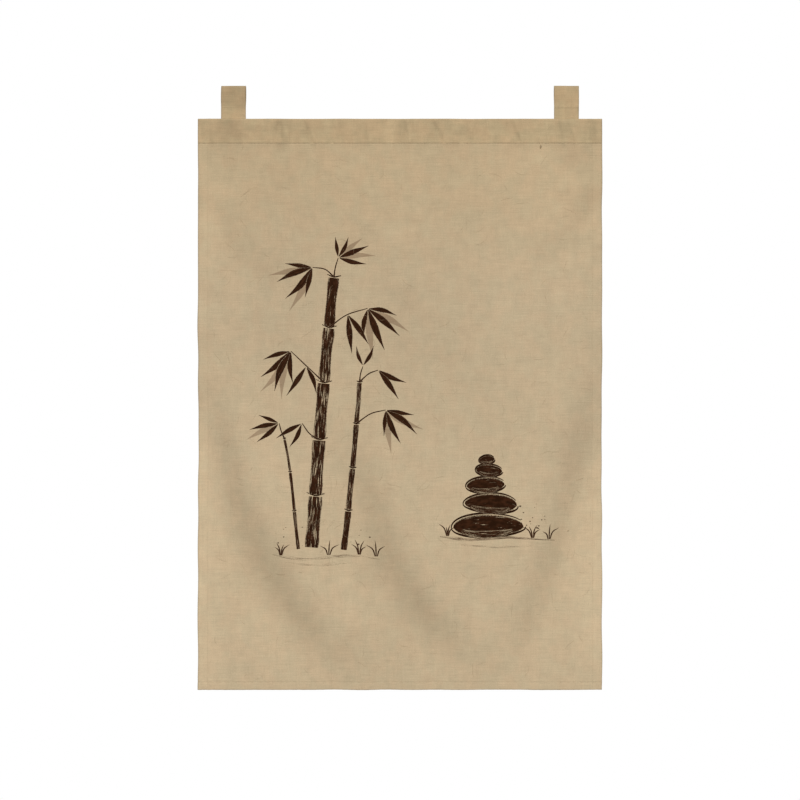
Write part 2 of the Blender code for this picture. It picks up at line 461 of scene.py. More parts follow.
def panelBack(x, z):
    return panelFront(x, z) + cloth["wall"] * layersAt(x, z)


# The cloth pieces are closed thin shells, made from their outer faces

def gridFaces(rows, columns, skip=None):
    # quads between rows of points, the first row uppermost at the front
    return [
        (
            (r + 1) * columns + c,
            (r + 1) * columns + c + 1,
            r * columns + c + 1,
            r * columns + c,
        )
        for r in range(rows - 1)
        for c in range(columns - 1)
        if skip is None or not skip[r, c]
    ]


def faceNormals(points, faces):
    normals = np.zeros_like(points)
    for corners in (3, 4):
        ring = np.array([f for f in faces if len(f) == corners])
        if len(ring):
            at = points[ring]
            facing = np.cross(at[:, 2] - at[:, 0], at[:, -1] - at[:, 1])
            np.add.at(normals, ring, facing[:, None, :])
    return normals / np.linalg.norm(normals, axis=1, keepdims=True)


shellLook = {
    "rounding": 0.35,  # how far the faces draw in at the rim, as a share of the thickness
    # painted shade along the edges and on the rim; the inner face gets a share of all the painted
    # shade
    "edge": 0.04,  # how much darker the cloth is at its edges
    "rim": 0.18,  # and on the rim itself
    "inside": 0.6,  # how much of the shade is on the inner face
}


def addPiece(name, vertices, faces):
    mesh = bpy.data.meshes.new(name)
    mesh.from_pydata(vertices, [], faces)
    mesh.update()
    mesh.shade_smooth()
    return addThing(name, mesh)


def inkShell(mesh, faces, ink):
    # the print's values at each corner: first the outer faces, then the inner ones, turned round
    for part, values in ink.items():
        behind = values.copy()
        start = 0
        for f in faces:
            end = start + len(f)
            behind[start:end] = values[start:end][::-1]
            start = end
        if part == "inkStroke":
            behind[:, 2] *= printLook["showThrough"]
        full = np.zeros((len(mesh.loops), 3), np.float32)
        full[: len(values)] = values
        full[len(values) : 2 * len(values)] = behind
        corner = mesh.attributes.new(part, "FLOAT_VECTOR", "CORNER")
        corner.data.foreach_set("vector", full.ravel())


def runAlong(profile):
    # how far along a profile each of its points lies
    return np.concatenate(([0.0], np.cumsum(np.linalg.norm(np.diff(profile, axis=0), axis=1))))


def clothShell(name, points, faces, thickness, weave, shade, ink=None, rounding=None):
    # the rim is rounded: both faces draw in by a part of the thickness, and a middle row stays out
    normals = faceNormals(points, faces)
    edges = {(f[i - 1], f[i]) for f in faces for i in range(len(f))}
    rim = sorted((a, b) for a, b in edges if (b, a) not in edges)
    outward = np.zeros_like(points)
    for a, b in rim:
        away = np.cross(points[b] - points[a], normals[a])
        outward[a] += away / np.linalg.norm(away)
        outward[b] += away / np.linalg.norm(away)
    border = sorted({v for edge in rim for v in edge})
    outward[border] /= np.linalg.norm(outward[border], axis=1, keepdims=True)
    count = len(points)
    wall = np.broadcast_to(np.asarray(thickness, float), (count,))[:, None]
    drawn = shellLook["rounding"] if rounding is None else rounding
    outer = points - np.broadcast_to(drawn, (count,))[:, None] * wall * outward
    inner = outer - wall * normals
    middle = (points - 0.5 * wall * normals)[border]
    midIndex = {v: 2 * count + i for i, v in enumerate(border)}

    allFaces = list(faces)
    allFaces += [tuple(v + count for v in reversed(f)) for f in faces]
    for a, b in rim:
        allFaces.append((b, a, midIndex[a], midIndex[b]))
        allFaces.append((midIndex[b], midIndex[a], a + count, b + count))
    piece = addPiece(name, np.vstack((outer, inner, middle)), allFaces)
    mesh = piece.data

    vertexOf = np.zeros(len(mesh.loops), np.int32)
    mesh.loops.foreach_get("vertex_index", vertexOf)
    everyWeave = np.vstack((weave, weave, weave[border]))
    layer = mesh.uv_layers.new(name="weave")
    layer.data.foreach_set("uv", everyWeave[vertexOf].astype(np.float32).ravel())
    # painted shade, deeper along the edges and on the rim, and fainter on the inner face
    shade = shade.copy()
    shade[border] += shellLook["edge"]
    onRim = shade[border] + shellLook["rim"]
    everyShade = np.concatenate((shade, shellLook["inside"] * shade, onRim))
    tone = mesh.attributes.new("shade", "FLOAT", "POINT")
    tone.data.foreach_set("value", everyShade.astype(np.float32))
    inkShell(mesh, faces, ink or {})
    return piece


# The ink print: bamboo on the left and a stack of flat stones on the right, in brush strokes

printLook = {
    "ink": (0.0140, 0.0048, 0.0010, 1.0),
    "wash": (0.1300, 0.0460, 0.0200, 1.0),
    "showThrough": 0.16,
    "seed": 41,
    "split": 62.0,  # the bamboo lies left of this, and the stones right of it
    # joints of each stem from the ground up, in millimetres, and half widths at foot and top
    "stems": (
        (
            ((-186, -903), (-178, -792), (-170, -674), (-160, -554), (-149, -438), (-139, -332)),
            (15.0, 11.0),
        ),
        (((-119, -909), (-109, -824), (-100, -734), (-92, -641), (-85, -553)), (7.0, 4.6)),
        (((-213, -906), (-222, -824), (-231, -742), (-243, -672)), (3.8, 2.2)),
    ),
    "jointGap": 2.2,
    "jointMark": (1.25, 0.35),  # how far a joint's mark reaches out and up, in half widths
    # twigs, from a joint to where leaves hang
    "twigs": (
        ((-160, -554), (-194, -522), (-230, -488)),
        ((-149, -438), (-112, -412), (-68, -398)),
        ((-139, -332), (-158, -316), (-184, -312)),
        ((-139, -332), (-136, -312), (-130, -292)),
        ((-92, -641), (-62, -620), (-30, -612)),
        ((-85, -553), (-66, -536), (-46, -528)),
        ((-85, -553), (-83, -536), (-78, -520)),
        ((-243, -672), (-250, -656), (-254, -640)),
        ((-170, -674), (-190, -662), (-206, -640)),
    ),
    # where leaves hang from, and each leaf's direction in degrees, length and half width
    "leaves": (
        ((-230, -488), ((-163, 58, 5.2), (-139, 80, 7.2), (-112, 88, 7.8), (-86, 66, 5.8))),
        ((-197, -520), ((-124, 72, 6.0), (-70, 58, 5.4))),
        ((-68, -398), ((-14, 60, 5.4), (-41, 86, 7.4), (-68, 92, 8.0), (-98, 62, 5.6))),
        ((-110, -411), ((-55, 74, 6.4), (-84, 80, 7.0))),
        ((-184, -312), ((172, 56, 5.0), (-158, 78, 7.0), (-131, 84, 7.4), (-104, 62, 5.6))),
        ((-130, -292), ((64, 46, 4.6), (98, 42, 4.2), (22, 66, 6.2), (-12, 58, 5.4))),
        ((-30, -612), ((-10, 58, 5.2), (-38, 80, 7.0), (-66, 74, 6.6), (-94, 52, 4.8))),
        ((-46, -528), ((-24, 62, 5.8), (-55, 72, 6.4))),
        ((-78, -520), ((62, 46, 4.4), (108, 42, 4.0))),
        ((-254, -640), ((158, 44, 4.2), (-168, 60, 5.4), (-140, 58, 5.4))),
        ((-206, -640), ((-150, 60, 5.4), (-118, 54, 5.0))),
    ),
    "paleLeaves": (
        ((-234, -492), ((-126, 98, 8.0), (-99, 96, 7.6))),
        ((-70, -402), ((-27, 96, 7.8), (-83, 100, 8.0))),
        ((-186, -316), ((-172, 88, 7.4), (-118, 96, 8.0))),
        ((-34, -616), ((-24, 88, 7.4), (-80, 86, 7.0))),
        ((-128, -294), ((5, 74, 6.2), (42, 62, 5.6))),
        ((-256, -642), ((-154, 70, 6.0),)),
    ),
    # line, half width, dryness
    "ground": (
        (((-268, -916), (-198, -925), (-110, -919), (-42, -927)), 3.6, 0.82),
        (((-240, -932), (-166, -938), (-92, -933)), 2.4, 0.88),
        (((84, -878), (150, -885), (232, -880), (326, -886)), 3.6, 0.70),
        (((128, -896), (206, -900), (286, -896)), 2.4, 0.85),
    ),
    # the stack from the ground up: each stone's middle, half length, half height, turn in degrees
    "stackFoot": -879.0,
    "stoneGap": 0.5,
    "stones": (
        (184, 78.0, 31.0, 1.5),
        (192, 58.0, 26.0, -2.5),
        (180, 42.0, 21.0, 3.0),
        (187, 29.0, 16.0, -4.0),
        (183, 17.0, 11.0, 4.0),
    ),
    "flatFoot": 0.62,  # how much flatter a stone is below its middle
    # foot and number of blades of each tuft of grass
    "tufts": (
        ((-250, -917), 4),
        ((-150, -917), 3),
        ((-86, -917), 4),
        ((-50, -921), 3),
        ((100, -877), 4),
        ((278, -880), 4),
        ((313, -883), 3),
    ),
    # middle, spread and number of dots
    "spatter": (
        ((272, -838), (20, 18), 18),
        ((-232, -884), (22, 16), 9),
        ((-84, -888), (18, 14), 7),
    ),
}
# How a brush swells along each kind of stroke, in millimetres or in shares of its half width
brushes = {
    "leaf": (0.10, 0.52, 0.86, 1.0, 0.84, 0.54, 0.24, 0.03),
    "stem": (0.95, 1.04, 0.95, 0.92, 0.92, 0.95, 1.06, 0.98),
    "joint": (0.9, 1.5, 1.7, 1.4, 0.7),
    "twig": (1.9, 1.2, 1.3, 0.8),
    "ground": (0.3, 1.0, 0.7, 1.0, 0.5, 0.2),
    "blade": (1.1, 1.5, 1.1, 0.2),
    "dot": (0.45, 0.86, 1.0, 0.86, 0.45),
    "stoneTop": (0.8, 1.8, 2.3, 1.9, 0.9),
    "stoneFoot": (1.2, 2.4, 2.8, 2.4, 1.0),
    "stoneShadow": (0.10, 0.20, 0.26, 0.22, 0.10),
}


def smoothLine(points, count):
    # a smooth curve through the points, evenly shared out
    points = np.array(points, float)
    ends = np.vstack((2 * points[0] - points[1], points, 2 * points[-1] - points[-2]))
    at = np.linspace(0.0, len(points) - 1, count)
    first = np.minimum(at.astype(int), len(points) - 2)
    t = (at - first)[:, None]
    a, b, c, d = (ends[first + i] for i in range(4))
    square, cube = 2 * a - 5 * b + 4 * c - d, 3 * b - a - 3 * c + d
    return 0.5 * (2 * b + (c - a) * t + square * t**2 + cube * t**3)


def brushStroke(points, halfWidths, density=1.0, dryness=0.3, warmth=0.0, count=18):
    line = smoothLine(points, count)
    shares = np.linspace(0.0, 1.0, len(halfWidths))
    width = np.interp(np.linspace(0.0, 1.0, count), shares, halfWidths)
    return {
        "line": line,
        "width": width,
        "density": density,
        "dryness": dryness,
        "warmth": warmth,
    }


def swelling(kind, halfWidth):
    return [halfWidth * share for share in brushes[kind]]


def strokeOutline(stroke):
    line, width = stroke["line"], stroke["width"]
    along = np.gradient(line, axis=0)
    along /= np.linalg.norm(along, axis=1, keepdims=True)
    across = np.column_stack((-along[:, 1], along[:, 0])) * width[:, None]
    return np.vstack((line - across, (line + across)[::-1]))


def strokeCoordinates(stroke, points):
    # millimetres along the stroke, and -1 to 1 across it
    line, width = stroke["line"], stroke["width"]
    steps = np.linalg.norm(np.diff(line, axis=0), axis=1)
    reached = np.concatenate(([0.0], np.cumsum(steps)))
    nearest = np.full(len(points), 1e9)
    along, across = np.zeros(len(points)), np.zeros(len(points))
    for i, length in enumerate(steps):
        step = (line[i + 1] - line[i]) / length
        off = points - line[i]
        t = np.clip(off @ step, 0.0, length)
        gap = np.linalg.norm(off - t[:, None] * step, axis=1)
        side = off[:, 1] * step[0] - off[:, 0] * step[1]
        here = np.interp(t, (0.0, length), width[i : i + 2])
        closer = gap < nearest
        nearest = np.where(closer, gap, nearest)
        along = np.where(closer, reached[i] + t, along)
        across = np.where(closer, side / np.maximum(here, 0.2), across)
    return along, np.clip(across, -1.0, 1.0)


def leafStrokes(groups, chance, density, warmth):
    strokes = []
    for start, leaves in groups:
        for degrees, length, halfWidth in leaves:
            turn = math.radians(degrees)
            aim = np.array((math.cos(turn), math.sin(turn)))
            side = np.array((-aim[1], aim[0]))
            bend = length * chance.uniform(-0.07, 0.07)
            base = np.array(start, float) + aim * 3.0
            points = (base, base + aim * length / 2 + side * bend, base + aim * length)
            dryness = chance.uniform(0.08, 0.42)
            widths = swelling("leaf", halfWidth)
            strokes.append(brushStroke(points, widths, density, dryness, warmth, 16))
    return strokes


def stemStrokes(joints, halfWidths, chance):
    # a stroke from joint to joint, and a small curved mark across each joint
    strokes = []
    joints = np.array(joints, float)
    for i in range(len(joints) - 1):
        share = i / (len(joints) - 1)
        wide = halfWidths[0] + (halfWidths[1] - halfWidths[0]) * share
        step = joints[i + 1] - joints[i]
        aim = step / np.linalg.norm(step)
        gap = aim * printLook["jointGap"]
        foot, top = joints[i] + gap, joints[i + 1] - gap
        points = (foot, (foot + top) / 2 + chance.uniform(-1.0, 1.0, 2), top)
        dryness = chance.uniform(0.42, 0.58)
        strokes.append(brushStroke(points, swelling("stem", wide), 1.0, dryness, 0.10, 22))
        knot = top + gap
        reach, rise = printLook["jointMark"]
        out, lift = np.array((-aim[1], aim[0])) * wide * reach, aim * wide * rise
        mark = (knot - out + lift, knot, knot + out + lift)
        strokes.append(brushStroke(mark, brushes["joint"], 1.0, 0.1, 0.0, 10))
    return strokes


def stackedStones():
    # each stone rests on the one below it
    foot = printLook["stackFoot"]
    for across, halfLength, halfHeight, degrees in printLook["stones"]:
        middle = (across, foot + printLook["flatFoot"] * halfHeight)
        foot += (1 + printLook["flatFoot"]) * halfHeight + printLook["stoneGap"]
        yield from stoneStrokes(middle, halfLength, halfHeight, degrees)


def stoneStrokes(middle, halfLength, halfHeight, degrees):
    turn = math.radians(degrees)
    cos, sin = math.cos(turn), math.sin(turn)

    def around(angles, scale=1.0):
        places = []
        for angle in angles:
            uneven = 1 + 0.03 * math.sin(math.radians(3 * angle) + middle[1])
            x = scale * uneven * halfLength * math.cos(math.radians(angle))
            z = scale * uneven * halfHeight * math.sin(math.radians(angle))
            z *= 1.0 if z > 0 else printLook["flatFoot"]
            places.append((middle[0] + x * cos - z * sin, middle[1] + x * sin + z * cos))
        return places

    sweep = np.linspace(176, 4, 15)
    upper, lower = np.array(around(sweep, 0.92)), np.array(around(-sweep, 0.95))
    body = (upper + lower) / 2
    swell = list(np.linalg.norm(upper - lower, axis=1) / 2)
    top, foot = around(range(28, 203, 16)), around(range(186, 372, 16))
    shadow = around(range(196, 350, 14), 0.74)
    return [
        brushStroke(body, swell, 1.0, 0.42, 0.08, 24),
        brushStroke(top, brushes["stoneTop"], 1.0, 0.42, 0.0, 26),
        brushStroke(foot, brushes["stoneFoot"], 1.0, 0.25, 0.0, 26),
        brushStroke(shadow, swelling("stoneShadow", halfHeight), 1.0, 0.56, 0.1, 22),
    ]


def printStrokes():
    chance = np.random.default_rng(printLook["seed"])
    strokes = leafStrokes(printLook["paleLeaves"], chance, 0.44, 0.95)
    for joints, halfWidths in printLook["stems"]:
        strokes += stemStrokes(joints, halfWidths, chance)
    for points in printLook["twigs"]:
        strokes.append(brushStroke(points, brushes["twig"], 1.0, 0.3, 0.1, 14))
    strokes += leafStrokes(printLook["leaves"], chance, 1.0, 0.1)
    for points, halfWidth, dryness in printLook["ground"]:
        widths = swelling("ground", halfWidth)
        strokes.append(brushStroke(points, widths, 0.95, dryness, 0.3, 30))
    for foot, number in printLook["tufts"]:
        for lean in np.linspace(-0.95, 1.0, number) + chance.uniform(-0.15, 0.15, number):
            rise = chance.uniform(20.0, 38.0) * (1.0 - 0.25 * abs(lean))
            middle = foot + rise * np.array((0.30 * lean, 0.58))
            tip = foot + rise * np.array((0.80 * lean, 1.0 - 0.10 * lean**2))
            blade = (np.array(foot) + (2.2 * lean, 0.0), middle, tip)
            strokes.append(brushStroke(blade, brushes["blade"], 1.0, 0.35, 0.2, 10))
    strokes += stackedStones()
    for middle, reach, number in printLook["spatter"]:
        for _ in range(number):
            place = np.array(middle) + chance.normal(0.0, 1.0, 2).clip(-1.6, 1.6) * reach
            radius = chance.uniform(0.5, 1.9)
            long = radius * chance.uniform(0.8, 1.5)
            dot = (place - (long, 0), place + (long, 0))
            strokes.append(brushStroke(dot, swelling("dot", radius), 0.95, 0.1, 0.1, 5))
    return strokes


def inkedBlock(strokes, columns, rows, indexOf, points):
    # cuts the strokes' outlines into a rectangle of the grid, whose own points stay
    extent = np.vstack([strokeOutline(s) for s in strokes]) / 1000
    c0 = np.searchsorted(columns, extent[:, 0].min()) - 2
    c1 = np.searchsorted(columns, extent[:, 0].max()) + 1
    r0 = np.searchsorted(-rows, -extent[:, 1].max()) - 2
    r1 = np.searchsorted(-rows, -extent[:, 1].min()) + 1
    gridPlaces = [(r, c) for r in range(r0, r1 + 1) for c in range(c0, c1 + 1)]
    wide, high = c1 - c0, r1 - r0
    flat = [(1000 * columns[c], 1000 * rows[r]) for r, c in gridPlaces]
    known = [indexOf(r, c) for r, c in gridPlaces]
    ring = list(range(wide))
    ring += [i * (wide + 1) + wide for i in range(high)]
    ring += [high * (wide + 1) + wide - i for i in range(wide)]
    ring += [(high - i) * (wide + 1) for i in range(high)]
    edges = [(ring[i - 1], ring[i]) for i in range(len(ring))]
    outlines = []
    for stroke in strokes:
        outline = strokeOutline(stroke)
        outlines.append(list(range(len(flat), len(flat) + len(outline))))
        flat += [tuple(p) for p in outline]
    found = delaunay_2d_cdt(flat, edges, outlines, 0, 0.02)
    places, triangles, fromVertices, fromFaces = found[0], found[2], found[3], found[5]
    numbers = []
    for place, sources in zip(places, fromVertices):
        onGrid = [known[s] for s in sources if s < len(known)]
        if onGrid:
            numbers.append(onGrid[0])
        else:
            numbers.append(len(points))
            points.append((place[0] / 1000, place[1] / 1000))
    faces, marks = [], []
    for triangle, sources in zip(triangles, fromFaces):
        corners = tuple(numbers[v] for v in triangle)
        if len(set(corners)) == 3:
            faces.append(corners)
            best = max(sources, key=lambda s: (strokes[s]["density"], s), default=None)
            marks.append((best, [places[v] for v in triangle]))
    stroked, toned = np.zeros((3 * len(faces), 3)), np.zeros((3 * len(faces), 3))
    for number, stroke in enumerate(strokes):
        mine = [i for i, (best, _) in enumerate(marks) if best == number]
        if not mine:
            continue
        at = np.array([marks[i][1] for i in mine]).reshape(-1, 2)
        along, across = strokeCoordinates(stroke, at)
        loops = (3 * np.array(mine)[:, None] + np.arange(3)).ravel()
        start = 0.37 * number  # so that each stroke has its own streaks
        density = np.full(len(at), stroke["density"])
        stroked[loops] = np.column_stack((along / 1000 + start, across, density))
        toned[loops] = (stroke["dryness"], stroke["warmth"], 0.0)
    return faces, stroked, toned, (slice(r0, r1), slice(c0, c1))


panelMesh = {
    "cell": 0.0056,
    # places close together at the side hems, from the middle outwards
    "sideColumns": (
        0.4026, 0.4035, 0.4045, 0.4055, 0.4065, 0.4085, 0.4125, 0.4170, 0.4220, 0.4254,
    ),
    # and below the seam and at the foot, downwards
    "topRows": (
        0.0510, 0.0516, 0.0524, 0.0534, 0.0550, 0.0572, 0.0600, 0.0636, 0.0680, 0.0730,
    ),
    "footRows": (
        1.1780, 1.1805, 1.1815, 1.1825, 1.1835, 1.1846,
        1.1857, 1.1875, 1.1910, 1.1950, 1.1985, 1.2010,
    ),
    # painted shade at the sides and at the foot
    "paintedEdgeShade": (0.080, 0.060),  # of the last few millimetres at the sides and at the foot
}


def edgeShade(x, z):
    # painted shade over the last millimetres of the sides and the foot
    atSide, atFoot = panelMesh["paintedEdgeShade"]
    sides, foot = panelMesh["sideColumns"][-2:], panelMesh["footRows"][-2:]
    intoSide = (np.abs(x) - sides[0]) / (sides[1] - sides[0])
    intoFoot = (-z - foot[0]) / (foot[1] - foot[0])
    return atSide * eased(intoSide) + atFoot * eased(intoFoot)


def clothColumns(finer):
    # the places across the cloth where its mesh has columns
    inner, *outer = panelMesh["sideColumns"]
    cells = finer * round(2 * inner / panelMesh["cell"])
    side = np.array(outer)
    return np.concatenate((-side[::-1], np.linspace(-inner, inner, cells + 1), side))


def makePanel():
    columns = clothColumns(1)
    top, foot = panelMesh["topRows"], panelMesh["footRows"]
    cells = round((foot[0] - top[-1]) / panelMesh["cell"])
    between = np.linspace(top[-1], foot[0], cells + 1)[1:-1]
    rows = -np.concatenate((top, between, foot))
    points = [(x, z) for z in rows for x in columns]
    wide = len(columns)

    strokes = printStrokes()
    left = [s for s in strokes if s["line"][:, 0].mean() < printLook["split"]]
    right = [s for s in strokes if s["line"][:, 0].mean() >= printLook["split"]]
    taken = np.zeros((len(rows) - 1, wide - 1), bool)
    inked, stroked, toned = [], [], []
    for group in (left, right):
        made = inkedBlock(group, columns, rows, lambda r, c: int(r * wide + c), points)
        inked += made[0]
        stroked.append(made[1])
        toned.append(made[2])
        if taken[made[3]].any():
            raise ValueError("the two halves of the print overlap")
        taken[made[3]] = True
    plain = gridFaces(len(rows), wide, taken)
    blank = np.zeros((4 * len(plain), 3))
    ink = {
        "inkStroke": np.vstack((blank, *stroked)),
        "inkTone": np.vstack((blank, *toned)),
    }
    x, z = np.array(points).T
    height, length, seed = hang["outlineWaves"]
    side, low, growing = hang["outlineBand"]
    nearSide, nearFoot = eased((np.abs(x) - side) / growing), eased((-z - low) / growing)
    outX = height * waves(0.0 * x, z, length, seed) * nearSide
    outZ = height * waves(x, 0.0 * z, length, seed + 1) * nearFoot
    place = np.column_stack((x + outX, panelFront(x, z), z + outZ))
    atSeam = z > -cloth["headingHeight"] - 0.0002
    panel = clothShell(
        "panel_cloth",
        place,
        plain + inked,
        cloth["wall"] * layersAt(x, z),
        np.column_stack((x, z)),
        panelShade(x, z),
        ink,
        np.where(atSeam, 0.0, shellLook["rounding"]),
    )
    print("panel:", len(panel.data.polygons), "faces,", len(strokes), "strokes")
    return panel


# Painted light and shade in soft patches: x, z, reach across, reach down, and how much darker
panelLightAndShadePatches = (
    (-0.420, -0.95, 0.050, 0.30, -0.120),
    (-0.410, -0.66, 0.030, 0.12, -0.070),
    (-0.405, -0.22, 0.028, 0.14, -0.090),
    (-0.330, -1.12, 0.090, 0.13, -0.050),
    (-0.270, -0.73, 0.110, 0.10, -0.075),
    (-0.120, -0.60, 0.050, 0.08, -0.045),
    (-0.147, -1.07, 0.035, 0.06, -0.050),
    (0.415, -0.98, 0.050, 0.28, -0.115),
    (0.350, -0.86, 0.045, 0.14, -0.060),
    (0.290, -0.97, 0.045, 0.06, -0.080),
    (0.240, -1.07, 0.070, 0.08, -0.045),
    (0.170, -0.80, 0.120, 0.10, -0.065),
    (0.340, -0.30, 0.070, 0.17, -0.060),
    (0.240, -0.38, 0.050, 0.22, -0.035),
    (0.295, -0.07, 0.028, 0.05, -0.055),
    (-0.365, -0.07, 0.055, 0.05, 0.055),
    (-0.240, -0.14, 0.110, 0.08, 0.045),
    (0.365, -0.07, 0.035, 0.04, 0.065),
    (0.105, -0.07, 0.035, 0.05, 0.030),
    (-0.285, -0.36, 0.025, 0.07, 0.025),
    (0.010, -0.44, 0.080, 0.08, 0.050),
    (-0.060, -0.95, 0.045, 0.06, 0.060),
    (0.020, -1.06, 0.060, 0.07, 0.050),
    (-0.205, -1.015, 0.040, 0.05, -0.035),
    (-0.130, -1.130, 0.050, 0.03, 0.020),
)
# painted shade where three creases end below the seam, and a smudge lower down
panelCreaseShadeAndSmudge = (  # the same, for small marks
    (-0.258, -0.061, 0.003, 0.007, 0.05),
    (-0.233, -0.080, 0.003, 0.008, 0.04),
    (-0.399, -0.073, 0.003, 0.009, 0.05),
    (-0.189, -0.524, 0.008, 0.010, 0.05),
)
clothShade = {
    "hem": (-0.018, 0.003),  # how much darker the side hems are, and over what width that comes
    "seam": (0.09, 0.0075),  # the shadow below the seam, and how far it reaches
    # painted shade, darker towards the top of the drop
    "top": (0.040, 0.05, 0.60),  # the top, from where and over how much of the drop that goes
}


def hemShade(x):
    strength, width = clothShade["hem"]
    return strength * eased((np.abs(x) - cloth["sideStitch"]) / width)


def panelShade(x, z):
    # painted shade and light: how much darker the cloth is in each place than its plain colour
    seam, seamReach = clothShade["seam"]
    top, topStart, topReach = clothShade["top"]
    dark = creaseAt(x, z, hang["creaseSpread"])[1] + hemShade(x)
    below = -z - cloth["headingHeight"]
    dark = dark + seam * np.exp(-np.maximum(below, 0.0) / seamReach)
    dark = dark + foldPaintedShade(x, z) + edgeShade(x, z)
    dark = dark + top * (1 - eased((-z - topStart) / topReach))
    # painted light and shade in patches and spots
    for markX, markZ, reachX, reachZ, strength in panelCreaseShadeAndSmudge + panelLightAndShadePatches:
        dark = dark + strength * bellAt(x - markX, reachX) * bellAt(z - markZ, reachZ)
    return dark


# The heading: the cloth's turned-over top, sewn down as a pocket

headingSettings = {
    "puff": 0.0010,  # how far the front wall stands out
    "bulge": 0.010,  # and the back wall
    "sewnShut": 0.004,  # the strip that the seam holds shut
    "turnedEdge": 0.006,  # below the seam, behind the cloth body
    "foldTop": 0.003,  # the height of the fold at the top
    "crown": 0.0009,  # how much higher it is in its middle
    "seamGap": 0.0002,
    "backGrooves": (0.6, 0.7),  # how deep the stitch grooves and the seam are at the back
    "frontStations": 17,
    "frontCrowding": (0.55, 1.7),  # how much closer together they lie at the seam
    "backStations": 12,
    "lipStations": (0.2, 0.4, 0.7, 1.0),  # down the turned edge, in shares of it
    "foldAngles": (22, 48, 72, 90, 108, 132, 158),
    "fineWaves": (0.00022, 0.024, 21),  # height, length, seed
    "topWaves": (0.0002, 0.09, 23),
    "lipWaves": (0.0003, 0.06, 24),
    "gathersFrom": (0.008, 0.043),  # below the top, and over what height they grow
    "creasesFrom": 0.012,
    # middle, lean, depth and half width of each pucker, as in the CAD part
    "puckers": (
        (-0.256, 0.010, 0.0016, 0.011),
        (-0.193, -0.008, 0.0014, 0.013),
        (0.015, 0.006, 0.0015, 0.012),
        (0.080, -0.006, 0.0013, 0.014),
        (0.232, 0.008, 0.0015, 0.013),
        (0.337, -0.010, 0.0012, 0.016),
    ),
}


def bulgeAt(z):
    low = -cloth["headingHeight"] + headingSettings["sewnShut"]
    high = -headingSettings["foldTop"]
    return np.sin(math.pi * np.clip((z - low) / (high - low), 0.0, 1.0))


def headingWall(x):
    return cloth["wall"] * layersAt(x, 0.0 * x)


def headingFront(x, z):
    x, z = np.broadcast_arrays(np.asarray(x, float), np.asarray(z, float))
    drawn = -headingSettings["puff"]
    for middle, lean, depth, halfWidth in headingSettings["puckers"]:
        at = middle + lean * (z / cloth["headingHeight"] + 0.5)
        drawn = drawn + depth * bellAt(x - at, halfWidth)
    height, length, seed = headingSettings["fineWaves"]
    y = bulgeAt(z) * (drawn + height * waves(x, z, length, seed))
    start, growing = headingSettings["gathersFrom"]
    y = y + eased((-z - start) / growing) * gathersAt(x)
    y = y + eased(-z / headingSettings["creasesFrom"]) * creaseAt(x, z)[0]
    return y + seamGroove(z) + stitchGroove(np.abs(x) - cloth["sideStitch"])


def headingBack(x, z):
    x, z = np.broadcast_arrays(np.asarray(x, float), np.asarray(z, float))
    depth = 2 * headingWall(x) + headingSettings["seamGap"]
    height, length, seed = headingSettings["fineWaves"]
    uneven = 2 * height * waves(x, z, 2 * length, seed + 1)
    y = depth + bulgeAt(z) * (headingSettings["bulge"] + uneven)
    stitches, seam = headingSettings["backGrooves"]
    y = y - stitches * stitchGroove(np.abs(x) - cloth["sideStitch"])
    return y - seam * seamGroove(z)


def makeHeading():
    # one sheet, from the seam up the front, over the fold and down the back to its turned edge
    columns = clothColumns(2)
    height, fold = cloth["headingHeight"], headingSettings["foldTop"]
    steps = np.linspace(0.0, 1.0, headingSettings["frontStations"])
    crowded, power = headingSettings["frontCrowding"]
    frontLevels = -height + (height - fold) * (crowded * steps**power + (1 - crowded) * steps)
    steps = np.linspace(0.0, 1.0, headingSettings["backStations"])
    backLevels = -fold - (height - fold) * steps
    lipLevels = -height - headingSettings["turnedEdge"] * np.array(headingSettings["lipStations"])
    depth = 2 * headingWall(columns) + headingSettings["seamGap"]
    level = np.zeros(columns.shape)
    high, length, seed = headingSettings["topWaves"]
    crown = high * waves(columns, 0.0, length, seed) + headingSettings["crown"]
    high, length, seed = headingSettings["lipWaves"]
    lipWave = high * waves(columns, 0.0, length, seed)

    rings = [(headingFront(columns, z), level + z) for z in frontLevels]
    for angle in np.radians(headingSettings["foldAngles"]):
        rise = -fold + fold * math.sin(angle) + crown * math.sin(angle) ** 2
        rings.append((depth / 2 * (1 - math.cos(angle)), rise))
    rings += [(headingBack(columns, z), level + z) for z in backLevels]
    rings += [(headingBack(columns, z), level + z + lipWave) for z in lipLevels]
    rings.reverse()
    place = np.array([np.column_stack((columns, y, z)) for y, z in rings])
    run = runAlong(place[:, len(columns) // 2, 1:])
    down = np.repeat(run[-1] - run - height, len(columns))
    flatX = np.tile(columns, len(rings))
    points = place.reshape(-1, 3)
    atBack = points[:, 1] > np.tile(depth, len(rings)) / 2
    atSeam = np.arange(len(points)) >= len(points) - len(columns)
    heading = clothShell(
        "heading_cloth",
        points,
        gridFaces(len(rings), len(columns)),
        headingWall(flatX),
        np.column_stack((flatX, down)),
        headingShade(points[:, 0], points[:, 2], atBack),
        None,
        np.where(atSeam, 0.0, shellLook["rounding"]),
    )
    print("heading:", len(heading.data.polygons), "faces,", round(float(run[-1]), 4), "m round")
    return heading


# painted light and shade in patches: x, reach, and how much darker the heading is there, half as
# much near the seam
headingLightAndShadePatches = (
    (-0.415, 0.008, 0.040),
    (-0.358, 0.028, 0.170),
    (-0.248, 0.022, 0.085),
    (-0.192, 0.008, 0.100),
    (-0.148, 0.010, -0.030),
    (-0.126, 0.007, 0.080),
    (-0.018, 0.014, -0.080),
    (0.012, 0.016, 0.080),
    (0.076, 0.010, 0.100),
    (0.143, 0.006, 0.050),
    (0.160, 0.040, -0.010),
    (0.300, 0.030, -0.060),
    (0.344, 0.018, 0.060),
    (0.408, 0.010, 0.110),
)
